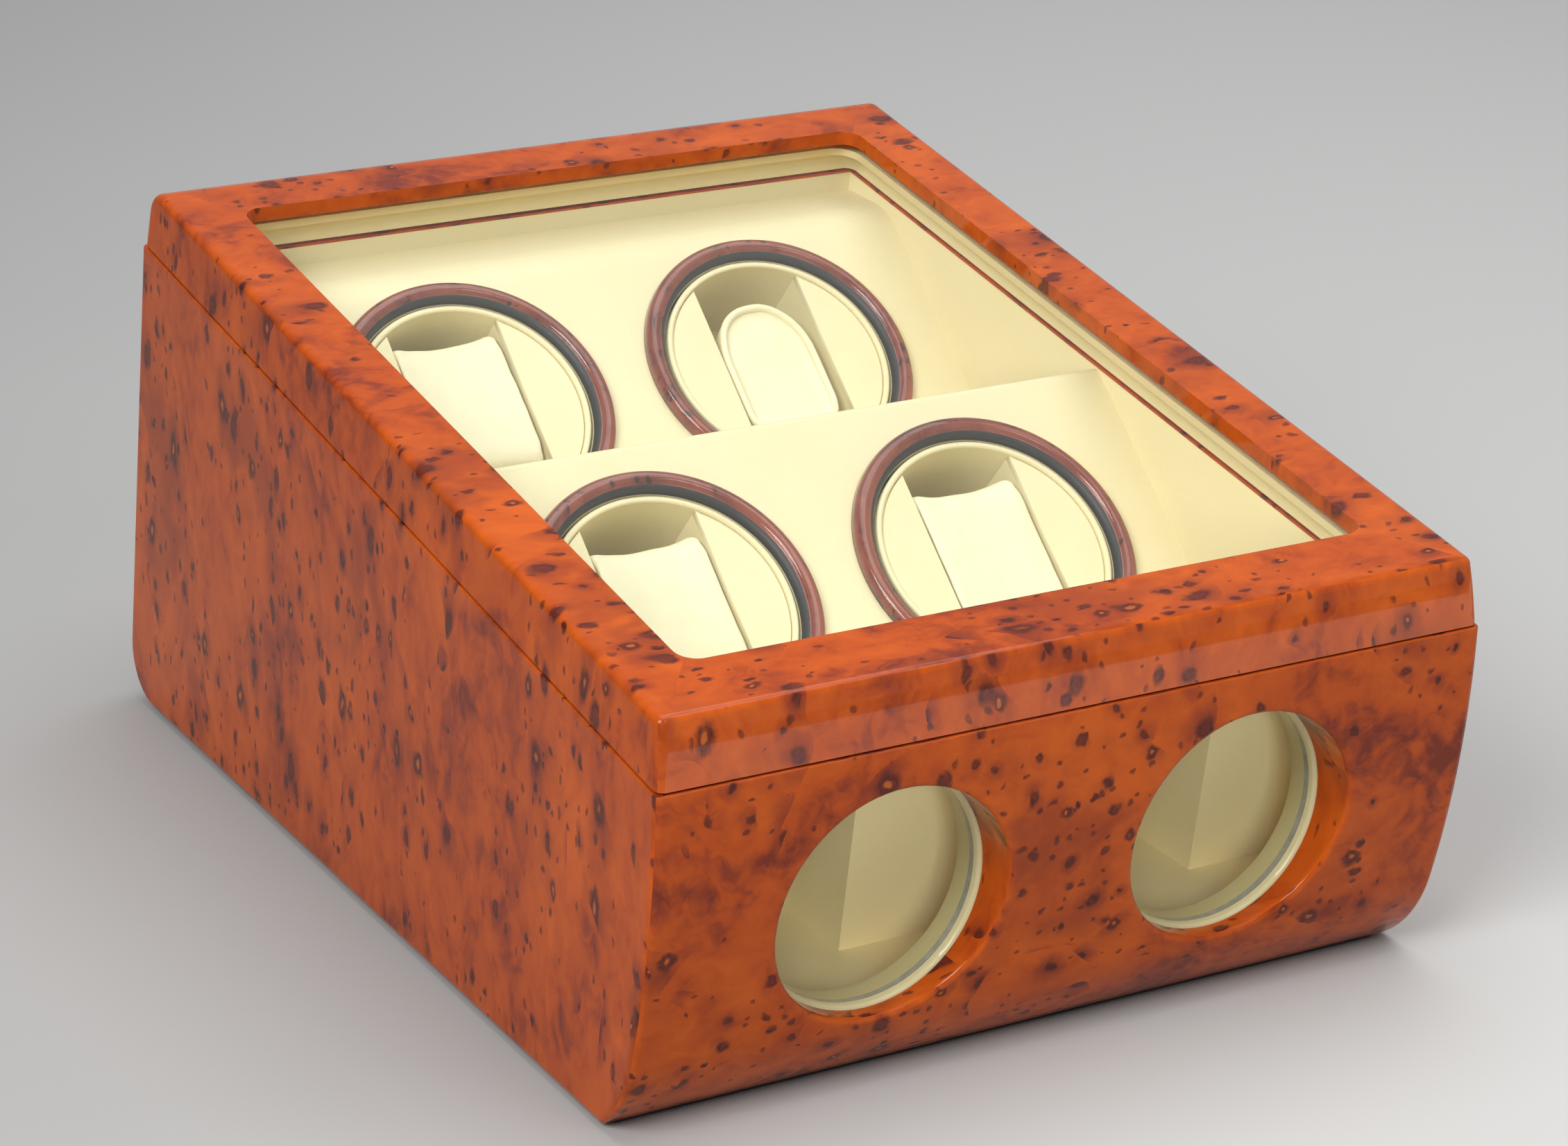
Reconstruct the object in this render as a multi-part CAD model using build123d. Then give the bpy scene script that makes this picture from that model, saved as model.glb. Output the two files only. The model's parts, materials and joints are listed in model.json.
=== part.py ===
from build123d import *
import os
from math import asin, cos, radians, sin, tan

# A four-station watch winder case. Millimetres, +Z up, +X to the right, the front faces -Y.
# The origin is the middle of the footprint, on the surface that the case stands on.

# Case
case_width = 330.0
case_length = 435.5          # front to rear along the sloping seam
seam_front_height = 136.8    # seam above the floor, at the front
lid_slope = 8.5              # degrees, the seam and lid rise towards the rear
front_bow_radius = 370.0     # bow of the front face
front_turn_rise = 31.0       # height over which the front turns under the base
front_turn_radius = 58.0
rear_corner_radius = 21.0    # rear lower corner, in side view
edge_radius = 2.5            # edges round the flat sides
seam_edge_radius = 0.5
wall = 16.5
base_thickness = 12.0
bevel = 13.0                 # inner corner of the front wall and the base board
pad_thickness = 2.0
pad_inset = 2.0
pad_corner_radius = 4.0

# Linings
lining = 2.2
rim_height = 1.0             # bare lacquered rim above the linings
front_wall_depth = 23.1      # front seam to the inner face of the front wall

# Lid
lid_thickness = 24.4
lid_inset = 0.7
seam_gap = 0.9
lid_front_lean = 7.5         # the lid's front edge stands this far back at its top
lid_front_bulge = 0.6
lid_side_lean = 1.8
lid_edge_radius = 3.5
lid_rear_edge_radius = 9.0
lid_plate = 5.7              # thickness of the lid's top where it frames the window
side_rail = 27.6
front_rail = 37.6
rear_rail = 30.8
window_corner_radius = 8.0
lid_glass_thickness = 4.0
lid_glass_overlap = 7.0
lining_lip = 3.0
lining_lip_reach = 6.8
lining_rise = 0.4            # the lid's lining starts this far above its lower edge
bumper_radius = 3.0
bumper_height = 0.6

# Stations
station_tilt = 31.5          # degrees from the seam plane
front_station_u = 164.0      # along the seam, to the ring centre
board_thickness = 8.0
ring_to_ridge = 12.6
ring_to_foot = 8.6
ring_to_riser = 15.0         # rear ring to the riser in front of it
ring_to_bend = 5.9           # rear ring to the bend of the rear ledge
bend_depth = 4.2             # that bend below the seam plane
ledge_depth = 5.0            # front ledge below the seam plane
rear_bend_radius = 25.0
ledge_thickness = 6.0

# Bezel rings and cups
cup_radius = 47.5
bezel_gap = 1.5              # cup to the ring round it
bezel_width = 8.4
bezel_height = 5.2
cup_wall = 2.5
cup_rise = 1.3
cup_floor = 3.0
cup_running_gap = 1.0
channel_gap = 0.7            # each block stands this far from the cushion
block_edge_radius = 1.5
block_clearance = 0.15

# Cushions
cushion_across = 45.6
cushion_long = 58.0
cushion_thick = 45.0
cushion_top = 2.0            # below the ring plane
cushion_edge_radius = 5.0
cushion_seat_gap = 0.3       # a cushion stands clear of the cup floor

# Drive
axle_radius = 4.0
axle_clearance = 0.05
hub_radius = 9.0
thrust_gap = 0.3
plate_thickness = 4.0
hub_height = 5.7
plate_side_margin = 16.5     # the plate reaches this far past the cups sideways
plate_margin = 12.5          # and this far up and down the board
plate_rear_gap = 2.8         # at least, to the back lining
post_radius = 4.0
post_side_inset = 6.0
post_inset = 5.0
roller_radius = 7.0
roller_length = 8.0
roller_gap = 0.3
roller_top = 36.0            # below the ring plane
shaft_radius = 1.5
shaft_clearance = 0.05
motor_radius = 11.5
motor_length = 30.0
motor_boss_radius = 5.0
motor_boss_height = 1.2
motor_to_middle = 1.7        # each motor to the middle plane of the case

# Portholes
porthole_spacing = 141.0
porthole_foot_gap = 0.2      # the ring stands this far above the front wall's bevel
porthole_radius = 45.2
porthole_edge_radius = 2.0
porthole_ring_lip = 1.4      # the ring shows this much inside the bore
porthole_ring_thickness = 3.5
porthole_ring_round = 1.6
porthole_ring_overlap = 3.3  # and reaches this far past it
porthole_glass_overlap = 0.8
porthole_glass_thickness = 3.0
porthole_glass_clearance = 0.2
porthole_liner_lip = 1.0
porthole_liner_depth = 8.0

# Chamber behind the portholes
chamber_floor_thickness = 6.0
chamber_face_u = 65.0
chamber_top_depth = 45.0
alcove_inner = 45.5
alcove_outer = 105.0
alcove_back = 41.0           # behind the block faces
block_relief = 0.4

# Hinges
hinge_spacing = 200.0
hinge_length = 50.0
leaf_width = 12.0
leaf_thickness = 1.5
knuckle_radius = 2.8
knuckle_gap = 0.3
hinge_pin_radius = 1.2
hinge_pin_clearance = 0.06
hinge_relief = 0.35
screw_radius = 1.4
screw_head_radius = 2.6
screw_head_height = 1.0
screw_length = 9.0
screw_pitch = 17.0
screw_inset = 7.8            # screw row to the rear edge of the seam

# Controls on the rear wall
panel_width = 120.0
panel_height = 34.0
panel_thickness = 3.0
panel_corner_radius = 4.0
panel_depth = 118.0          # panel centre below the seam plane
rocker_width = 12.0
rocker_height = 19.0
rocker_x = 40.0
rocker_swing = 9.0           # degrees each way
rocker_gap = 0.4
rocker_pivot_depth = 1.0
rocker_crown = 1.4           # height of the rocker's raised ends
rocker_dip = 0.9
rocker_keel = 5.2            # depth of the rocker under its pivot
knob_radius = 8.0
knob_height = 7.0
knob_x = 12.0
knob_gap = 0.4
knob_shaft_radius = 3.0
knob_shaft_clearance = 0.05
knob_edge_radius = 1.0
pointer_width = 1.2
pointer_depth = 0.6
inlet_x = 44.0
inlet_radius = 6.0
inlet_bore = 3.0
inlet_depth = 14.0
inlet_flange = 1.5
circuit_length = 90.0
circuit_width = 60.0
circuit_thickness = 1.6
circuit_rise = 8.0
circuit_y = 130.0
circuit_post_radius = 2.5
circuit_post_inset = 5.0
chip_width = 18.0
chip_height = 3.0

# Worked out from the sizes above
slope = radians(lid_slope)
tilt = radians(station_tilt)
half_width = case_width / 2
inner_half_width = half_width - wall - lining
rebate_half_width = half_width - wall
base_low = pad_thickness
base_high = pad_thickness + base_thickness
bow_angle = asin((seam_front_height - base_low - front_turn_rise) / front_bow_radius)
bezel_inner_radius = cup_radius + bezel_gap
bezel_outer_radius = bezel_inner_radius + bezel_width
ridge_reach = bezel_outer_radius + ring_to_ridge        # ring centre to the ridge, up the board
board_foot_reach = bezel_outer_radius + ring_to_foot    # ring centre to the foot of the board
bend_reach = bezel_outer_radius + ring_to_bend
rear_station_u = front_station_u + (ridge_reach + bezel_outer_radius + ring_to_riser) / cos(tilt)
station_depth = bend_depth + bend_reach * sin(tilt)     # ring centre below the seam plane
roller_reach = cup_radius + roller_gap + roller_radius
station_half_pitch = roller_reach + motor_radius + motor_to_middle
channel_half_width = cushion_across / 2 + channel_gap
porthole_ring_radius = porthole_radius - porthole_ring_lip
porthole_ring_outer = porthole_radius + porthole_ring_overlap
porthole_glass_radius = porthole_radius + porthole_glass_overlap
porthole_liner_radius = porthole_radius - porthole_liner_lip
porthole_height = base_high + bevel + porthole_ring_outer + porthole_foot_gap
cup_depth = cushion_top + cushion_across + cushion_seat_gap + cup_floor
rear_seam_y = case_length * cos(slope)
rear_seam_z = seam_front_height + case_length * sin(slope)
rear_corner_z = base_low + rear_corner_radius
rear_corner_y = rear_seam_y - (rear_corner_radius + (rear_corner_z - rear_seam_z) * sin(slope)) / cos(slope)
case_depth = rear_corner_y + rear_corner_radius
front_y = -case_depth / 2
rear_inner_u = case_length - wall - lining
front_inner_u = front_wall_depth / cos(slope)
plate_top = -cup_depth - hub_height - thrust_gap
plate_low = plate_top - plate_thickness
plate_room = (rear_inner_u - plate_rear_gap - rear_station_u + plate_low * sin(tilt)) / cos(tilt)
plate_half_width = min(cup_radius + plate_margin, plate_room)
plate_half_length = station_half_pitch + cup_radius + plate_side_margin
wide = case_width                 # reach of a cutting block past the case
small = 0.001

nodes = {}


# Places: u runs up the seam from its front edge, w stands square to it,
# v runs up a station board from its ring centre, and h stands square to the board.
def seam_point(u, w):
    return (front_y + u * cos(slope) - w * sin(slope), seam_front_height + u * sin(slope) + w * cos(slope))


def board_point(station_u, v, h):
    u = station_u + v * cos(tilt) - h * sin(tilt)
    w = -station_depth + v * sin(tilt) + h * cos(tilt)
    return seam_point(u, w)


def seam_plane(u=0.0, w=0.0):
    y, z = seam_point(u, w)
    return Plane(origin=(0, y, z), x_dir=(1, 0, 0), z_dir=(0, -sin(slope), cos(slope)))


def station_plane(station_u, x=0.0):
    y, z = board_point(station_u, 0, 0)
    lean = slope + tilt
    return Plane(origin=(x, y, z), x_dir=(1, 0, 0), z_dir=(0, -sin(lean), cos(lean)))


def side_prism(points, x_low, x_high):
    face = Plane.YZ * Polygon(*points, align=None)
    return Pos(x_low, 0, 0) * extrude(face, amount=x_high - x_low, dir=(1, 0, 0))


def seam_prism(corners, x_low, x_high):
    return side_prism([seam_point(u, w) for u, w in corners], x_low, x_high)


def board_prism(station_u, corners, x_low, x_high):
    return side_prism([board_point(station_u, v, h) for v, h in corners], x_low, x_high)


def rod(radius, low, high, x=0.0, y=0.0):
    return Pos(x, y, low) * Cylinder(radius, high - low, align=(Align.CENTER, Align.CENTER, Align.MIN))


def block(x_size, y_size, low, high, x=0.0, y=0.0):
    return Pos(x, y, low) * Box(x_size, y_size, high - low, align=(Align.CENTER, Align.CENTER, Align.MIN))


# Outer form of the body, below the seam
def body_form():
    bow_end = (front_y + front_bow_radius * (1 - cos(bow_angle)), base_low + front_turn_rise)
    bow_mid = (front_y + front_bow_radius * (1 - cos(bow_angle / 2)),
               seam_front_height - front_bow_radius * sin(bow_angle / 2))
    turn_centre = (bow_end[0] + front_turn_radius * cos(bow_angle),
                   bow_end[1] + front_turn_radius * sin(bow_angle))
    turn_last = asin((turn_centre[1] - base_low) / front_turn_radius)
    turn_mid = (bow_angle + turn_last) / 2
    turn_points = [(turn_centre[0] - front_turn_radius * cos(angle),
                    turn_centre[1] - front_turn_radius * sin(angle))
                   for angle in (turn_mid, turn_last)]
    rear_centre = (front_y + rear_corner_y, rear_corner_z)
    rear_turn = radians(45) - slope / 2
    rear_mid = (rear_centre[0] + rear_corner_radius * sin(rear_turn),
                rear_centre[1] - rear_corner_radius * cos(rear_turn))
    rear_end = (rear_centre[0] + rear_corner_radius * cos(slope),
                rear_centre[1] + rear_corner_radius * sin(slope))
    outline = [
        ThreePointArc(seam_point(0, 0), bow_mid, bow_end),
        ThreePointArc(bow_end, turn_points[0], turn_points[1]),
        Line(turn_points[1], (rear_centre[0], base_low)),
        ThreePointArc((rear_centre[0], base_low), rear_mid, rear_end),
        Line(rear_end, seam_point(case_length, 0)),
        Line(seam_point(case_length, 0), seam_point(0, 0)),
    ]
    form = extrude(Plane.YZ * make_face(outline), amount=half_width, both=True)
    ends = form.edges().group_by(Axis.X)
    round_edges = [edge for edge in ends[0] + ends[-1] if not is_on_seam(edge)]
    form = fillet(round_edges, radius=edge_radius)
    return fillet([edge for edge in form.edges() if is_on_seam(edge)], radius=seam_edge_radius)


def is_on_seam(edge):
    start = seam_plane().to_local_coords(edge @ 0)
    return abs(local_place(edge).Z) < small and abs(start.Z) < small


# Zones that part the shell into its boards
def front_zone():
    inner_y = front_y + front_wall_depth
    return side_prism([(inner_y - wide, -wide), (inner_y - wide, 2 * wide), (inner_y, 2 * wide),
                       (inner_y, base_high + bevel), (inner_y + bevel, base_high),
                       (inner_y + bevel, -wide)], -wide, wide)


def rear_zone():
    return seam_prism([(rear_inner_u, -2 * wide), (rear_inner_u, wide), (case_length + wide, wide),
                       (case_length + wide, -2 * wide)], -wide, wide)


# Body: front, rear and side walls, base board, pad
def body_parts():
    form = body_form()
    inner_y = front_y + front_wall_depth
    cavity = side_prism([(inner_y, 2 * wide), (inner_y, base_high + bevel), (inner_y + bevel, base_high),
                         (slant_foot(rear_inner_u), base_high), seam_point(rear_inner_u, wide)],
                        -inner_half_width, inner_half_width)
    rebate = side_prism([seam_point(front_inner_u, -rim_height), (inner_y, base_high + bevel),
                         (inner_y + bevel, base_high), (slant_foot(case_length - wall), base_high),
                         seam_point(case_length - wall, -rim_height)], -rebate_half_width, rebate_half_width)
    shell = form - cavity - rebate
    below = block(2 * wide, 4 * wide, -wide, base_high)
    walls = shell - below
    front = walls & front_zone()
    sides = (walls - front_zone() - rear_zone()).solids().sort_by(Axis.X)
    for x in (-porthole_spacing / 2, porthole_spacing / 2):
        bore = Plane(origin=(x, front_y - wall, porthole_height), z_dir=(0, 1, 0))
        front -= bore * rod(porthole_radius, 0, 4 * wall)
    rims = [edge for edge in front.edges() if is_outer_bore_edge(edge)]
    nodes["front_wall"] = fillet(rims, radius=porthole_edge_radius)
    nodes["rear_wall"] = (walls & rear_zone()) - hinge_reliefs() - control_pocket()
    nodes["left_wall"] = sides[0]
    nodes["right_wall"] = sides[-1]
    base = shell & below
    nodes["base_board"] = base
    flat = base.faces().sort_by(Axis.Z)[0].bounding_box()
    pad = block(case_width - 2 * (edge_radius + pad_inset), flat.size.Y - 2 * pad_inset, 0, pad_thickness, 0,
                flat.center().Y)
    nodes["base_pad"] = fillet(pad.edges().filter_by(Axis.Z), radius=pad_corner_radius)


# The bow meets a bore on an edge that is neither straight nor flat
def is_outer_bore_edge(edge):
    box = edge.bounding_box()
    return box.size.Z > porthole_radius and box.size.X > porthole_radius and box.size.Y > small


# Where a line square to the seam meets the base board
def slant_foot(u):
    y, z = seam_point(u, 0)
    return y + (z - base_high) * tan(slope)


# Linings of the body and the boards between them
def lining_parts():
    x = inner_half_width
    inner_y = front_y + front_wall_depth
    outline = [seam_point(front_inner_u, -rim_height), (inner_y, base_high + bevel),
               (inner_y + bevel, base_high), (slant_foot(case_length - wall), base_high),
               seam_point(case_length - wall, -rim_height)]
    nodes["side_linings"] = Compound([side_prism(outline, -x - lining, -x),
                                      side_prism(outline, x, x + lining)])
    back = [seam_point(rear_inner_u, -rim_height), seam_point(case_length - wall, -rim_height),
            (slant_foot(case_length - wall), base_high), (slant_foot(rear_inner_u), base_high)]
    nodes["back_lining"] = side_prism(back, -x, x)
    nodes["front_ledge"] = side_prism(front_ledge_outline(), -x, x)
    step_v = (rear_station_u - front_station_u) * cos(tilt)
    step_h = (rear_station_u - front_station_u) * sin(tilt)
    inner_v = ridge_reach - board_thickness
    low_h = -step_h - board_thickness
    middle = board_prism(front_station_u, [(inner_v, 0), (ridge_reach, 0), (ridge_reach, low_h),
                                           (inner_v, low_h)], -x, x)
    ridge = middle.edges().filter_by(Axis.X).sort_by(Axis.Z)[-1]
    nodes["middle_riser"] = fillet(ridge, radius=board_thickness / 3)
    foot_v = -board_foot_reach
    front_board = board_prism(front_station_u, [(foot_v, 0), (inner_v, 0), (inner_v, -board_thickness),
                                                (foot_v, -board_thickness)], -x, x)
    nodes["front_station_board"] = front_board - cup_holes(front_station_u)
    nodes["rear_station_board"] = rear_board(ridge_reach - step_v) - cup_holes(rear_station_u)


# Front ledge and the riser that it turns down into
def front_ledge_outline():
    foot = station_depth + board_foot_reach * sin(tilt)
    face_h = (foot - ledge_depth) / cos(tilt)
    back_h = face_h + board_thickness * tan(tilt)
    low_u = (ledge_thickness - board_thickness * cos(tilt)) / tan(tilt)
    outer_v = -board_foot_reach - board_thickness
    under_h = back_h - ledge_thickness / cos(tilt)
    return [seam_point(front_inner_u, -ledge_depth), board_point(front_station_u, -board_foot_reach, face_h),
            board_point(front_station_u, -board_foot_reach, -board_thickness),
            board_point(front_station_u, outer_v, -board_thickness),
            board_point(front_station_u, outer_v, under_h),
            seam_point(front_inner_u, -ledge_depth - ledge_thickness)]


# Rear station board with the level ledge that it bends into
def rear_board(foot_v):
    centre_z = board_point(rear_station_u, 0, 0)[1]
    bend_y, ledge_z = board_point(rear_station_u, bend_reach, 0)
    lean = slope + tilt
    under_z = ledge_z - ledge_thickness
    under_v = (under_z - centre_z + board_thickness * cos(lean)) / sin(lean)
    rear_top = seam_point(rear_inner_u, 0)
    top_y = rear_top[0] + (rear_top[1] - ledge_z) * tan(slope)
    low_y = rear_top[0] + (rear_top[1] - under_z) * tan(slope)
    outline = [board_point(rear_station_u, foot_v, 0), (bend_y, ledge_z), (top_y, ledge_z),
               (low_y, under_z),
               board_point(rear_station_u, under_v, -board_thickness),
               board_point(rear_station_u, foot_v, -board_thickness)]
    board = side_prism(outline, -inner_half_width, inner_half_width)
    bend = [edge for edge in board.edges().filter_by(Axis.X)
            if abs(edge.center().Y - bend_y) < small and abs(edge.center().Z - ledge_z) < small]
    return fillet(bend, radius=min(rear_bend_radius, (top_y - bend_y) / 2 / tan(lean / 2)))


def cup_holes(station_u):
    hole = rod(cup_radius + cup_running_gap, -board_thickness - 1, 1)
    places = [station_plane(station_u, side) for side in (-station_half_pitch, station_half_pitch)]
    return [place * hole for place in places]


# Chamber behind the portholes
def chamber_parts():
    x = inner_half_width
    floor_high = base_high + chamber_floor_thickness
    start = front_y + front_wall_depth + bevel
    face_foot_w = -(seam_front_height + chamber_face_u * sin(slope) - floor_high) / cos(slope)
    face_y, _ = seam_point(chamber_face_u, face_foot_w)
    back_y = face_y + alcove_back
    floor_end = back_y + board_thickness
    nodes["chamber_floor"] = side_prism([(start, base_high), (floor_end, base_high), (floor_end, floor_high),
                                         (start, floor_high)], -x, x)
    outer_v = -board_foot_reach - board_thickness - block_relief
    under_h = (station_depth - outer_v * sin(tilt) - chamber_top_depth) / cos(tilt)
    knee_h = -board_thickness - block_relief
    knee = board_point(front_station_u, outer_v, knee_h)
    profile = [(face_y, floor_high), seam_point(chamber_face_u, -chamber_top_depth),
               board_point(front_station_u, outer_v, under_h), knee, (back_y, knee[1] - board_thickness),
               (back_y, floor_high)]
    centre = side_prism(profile, -alcove_inner, alcove_inner)
    left = side_prism(profile, -x, -alcove_outer)
    right = side_prism(profile, alcove_outer, x)
    back_top = knee[1] - board_thickness
    back = side_prism([(back_y, floor_high), (floor_end, floor_high),
                       (floor_end, back_top - board_thickness), (back_y, back_top)], -x, x)
    nodes["chamber_blocks"] = Compound([centre, left, right])
    nodes["chamber_back"] = back


# Porthole ring, glass and liner, along +Y from the inner face of the front wall
def porthole_parts():
    rings, panes, liners = [], [], []
    ring_end = porthole_ring_thickness
    glass_end = ring_end + porthole_glass_thickness
    liner_end = glass_end + porthole_liner_depth
    seat = porthole_glass_radius + porthole_glass_clearance
    ring = rod(porthole_ring_outer, 0, glass_end) - rod(porthole_ring_radius, -1, ring_end + 1)
    ring -= rod(seat, ring_end, glass_end + 1)
    lip = ring.edges().filter_by(GeomType.CIRCLE).sort_by(Axis.Z)[0:2].sort_by(SortBy.RADIUS)[0]
    ring = fillet(lip, radius=porthole_ring_round)
    pane = rod(porthole_glass_radius, ring_end, glass_end)
    liner = rod(porthole_ring_outer, glass_end, liner_end)
    liner -= rod(porthole_liner_radius, glass_end - 1, liner_end + 1)
    for x in (-porthole_spacing / 2, porthole_spacing / 2):
        place = Plane(origin=(x, front_y + front_wall_depth, porthole_height), z_dir=(0, 1, 0))
        rings.append(place * ring)
        panes.append(place * pane)
        liners.append(place * liner)
    nodes["porthole_rings"] = Compound(rings)
    nodes["porthole_glass"] = Compound(panes)
    nodes["porthole_liners"] = Compound(liners)


# Lid: burl frame, glass, cream lining, and the bumpers that it rests on
def lid_form():
    low, high = seam_gap, lid_thickness
    lid_half = half_width - lid_inset
    lid_length = case_length - lid_inset
    top_u = lid_inset + lid_front_lean
    middle_u = (lid_inset + top_u) / 2 - lid_front_bulge
    round_u = lid_length - lid_rear_edge_radius
    round_w = high - lid_rear_edge_radius
    reach = lid_rear_edge_radius * sin(radians(45))
    outline = [
        ThreePointArc(seam_point(lid_inset, low), seam_point(middle_u, (low + high) / 2),
                      seam_point(top_u, high)),
        Line(seam_point(top_u, high), seam_point(round_u, high)),
        ThreePointArc(seam_point(round_u, high), seam_point(round_u + reach, round_w + reach),
                      seam_point(lid_length, round_w)),
        Line(seam_point(lid_length, round_w), seam_point(lid_length, low)),
        Line(seam_point(lid_length, low), seam_point(lid_inset, low)),
    ]
    form = extrude(Plane.YZ * make_face(outline), amount=lid_half, both=True)
    crease = [edge for edge in form.edges().filter_by(Axis.X) if abs(local_place(edge).Y - top_u) < small]
    form = fillet(crease, radius=lid_edge_radius)
    y, z = seam_point(-wide, 0)
    front = Plane(origin=(0, y, z), x_dir=(1, 0, 0), z_dir=(0, -cos(slope), -sin(slope)))
    end_outline = [(-lid_half, low), (lid_half, low), (lid_half - lid_side_lean, high),
                   (lid_side_lean - lid_half, high)]
    form &= extrude(front * Polygon(*end_outline, align=None), amount=-3 * wide)
    sides = [edge for edge in form.edges() if abs(edge.center().X) > lid_half - lid_side_lean - small
             and abs(local_place(edge).Z - low) > small]
    return fillet(sides, radius=lid_edge_radius)


def local_place(edge):
    return seam_plane().to_local_coords(edge @ 0.5)


def lid_parts():
    high = lid_thickness
    form = lid_form()
    rail = rebate_half_width
    room_length = case_length - wall - front_inner_u + lining
    room = block(2 * rail, room_length, 0, high - lid_plate)
    room_v = front_inner_u - lining + room_length / 2
    window_half = half_width - side_rail
    window_length = case_length - front_rail - rear_rail
    window_v = front_rail + window_length / 2
    window = extrude(RectangleRounded(2 * window_half, window_length, window_corner_radius), amount=2 * high)
    frame = form - seam_plane() * Pos(0, room_v, 0) * room - seam_plane() * Pos(0, window_v, 0) * window
    nodes["lid_frame"] = frame - hinge_reliefs()
    glass_high = high - lid_plate
    glass_low = glass_high - lid_glass_thickness
    glass_width = 2 * (window_half + lid_glass_overlap)
    glass_length = window_length + 2 * lid_glass_overlap
    glass = block(glass_width, glass_length, glass_low, glass_high)
    nodes["lid_glass"] = seam_plane() * Pos(0, window_v, 0) * glass
    glass_room = block(glass_width, glass_length, glass_low, 2 * high)
    hollow = extrude(RectangleRounded(2 * inner_half_width, rear_inner_u - front_inner_u, 2 * lining),
                     amount=glass_low - lining_lip)
    lip_opening = extrude(RectangleRounded(2 * (inner_half_width - lining_lip_reach),
                                           rear_inner_u - front_inner_u - 2 * lining_lip_reach,
                                           window_corner_radius + lining), amount=2 * high)
    hollow_v = (rear_inner_u + front_inner_u) / 2
    body = block(2 * rail, room_length, seam_gap + lining_rise, glass_high)
    piece = seam_plane() * Pos(0, room_v, 0) * body
    piece -= seam_plane() * Pos(0, window_v, 0) * glass_room
    piece -= seam_plane() * Pos(0, hollow_v, 0) * hollow
    piece -= seam_plane() * Pos(0, hollow_v, 0) * lip_opening
    nodes["lid_lining"] = piece
    bumper = rod(bumper_radius, 0, bumper_height)
    spots = [(x, u) for x in (-half_width + wall / 2, half_width - wall / 2)
             for u in (front_inner_u / 2 + lid_front_lean, case_length / 2)]
    nodes["lid_bumpers"] = Compound([seam_plane() * Pos(x, u, 0) * bumper for x, u in spots])


# Hinge: leaves let into the rear wall and the lid, three knuckles on a pin behind the seam
hinge_u = case_length
hinge_w = seam_gap / 2


def hinge_axis_plane(x):
    y, z = seam_point(hinge_u, hinge_w)
    return Plane(origin=(x, y, z), x_dir=(0, cos(slope), sin(slope)), z_dir=(1, 0, 0))


def hinge_reliefs():
    cuts = None
    for x in (-hinge_spacing / 2, hinge_spacing / 2):
        half = hinge_length / 2 + hinge_relief
        barrel = hinge_axis_plane(x) * rod(knuckle_radius + hinge_relief, -half, half)
        depth = leaf_width / 2
        leaves = seam_plane(hinge_u - depth, 0) * block(hinge_length, leaf_width, -leaf_thickness,
                                                        seam_gap + leaf_thickness, x)
        cut = barrel + leaves
        cuts = cut if cuts is None else cuts + cut
    return cuts


def hinge_parts():
    body_leaves, lid_leaves, pins, screws = [], [], [], []
    third = hinge_length / 3
    bore = hinge_pin_radius + hinge_pin_clearance
    for x in (-hinge_spacing / 2, hinge_spacing / 2):
        axis = hinge_axis_plane(x)
        flat = seam_plane(hinge_u - leaf_width / 2, 0)
        lower = flat * block(hinge_length, leaf_width, -leaf_thickness, 0, x)
        upper = flat * block(hinge_length, leaf_width, seam_gap, seam_gap + leaf_thickness, x)
        clear = axis * rod(knuckle_radius + knuckle_gap, -third / 2 - knuckle_gap, third / 2 + knuckle_gap)
        lower_knuckles = axis * (rod(knuckle_radius, -hinge_length / 2, -third / 2 - knuckle_gap)
                                 + rod(knuckle_radius, third / 2 + knuckle_gap, hinge_length / 2))
        upper_knuckle = axis * rod(knuckle_radius, -third / 2, third / 2)
        ends = axis * (rod(knuckle_radius + knuckle_gap, -hinge_length, -third / 2)
                       + rod(knuckle_radius + knuckle_gap, third / 2, hinge_length))
        lower_leaf = lower - clear + lower_knuckles
        lower_leaf -= axis * rod(hinge_pin_radius, -hinge_length, hinge_length)
        upper_leaf = upper - ends + upper_knuckle
        upper_leaf -= axis * rod(bore, -hinge_length, hinge_length)
        pins.append(axis * rod(hinge_pin_radius, -hinge_length / 2, hinge_length / 2))
        for offset in (-screw_pitch, 0, screw_pitch):
            head = rod(screw_head_radius, -screw_head_height, 0)
            spot = seam_plane(hinge_u - screw_inset, 0) * Pos(x + offset, 0, 0)
            screw = rod(screw_radius, -screw_length, -screw_head_height) + head
            lower_leaf -= spot * screw
            screws.append(spot * screw)
            nodes["rear_wall"] -= spot * rod(screw_radius, -screw_length, 0)
        body_leaves.append(lower_leaf)
        lid_leaves.append(upper_leaf)
    nodes["hinge_body_leaves"] = Compound([s for leaf in body_leaves for s in leaf.solids()])
    nodes["hinge_lid_leaves"] = Compound([s for leaf in lid_leaves for s in leaf.solids()])
    nodes["hinge_pins"] = Compound(pins)
    nodes["hinge_screws"] = Compound(screws)


# Station pieces, each built once about its own axis
def bezel_piece():
    middle = (bezel_outer_radius + bezel_inner_radius) / 2
    section = Pos(middle, 0) * Ellipse((bezel_outer_radius - bezel_inner_radius) / 2, bezel_height)
    section = section & Pos(middle, bezel_height) * Rectangle(2 * bezel_height + wall, 2 * bezel_height)
    return revolve(Plane.XZ * section, axis=Axis.Z)


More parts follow.
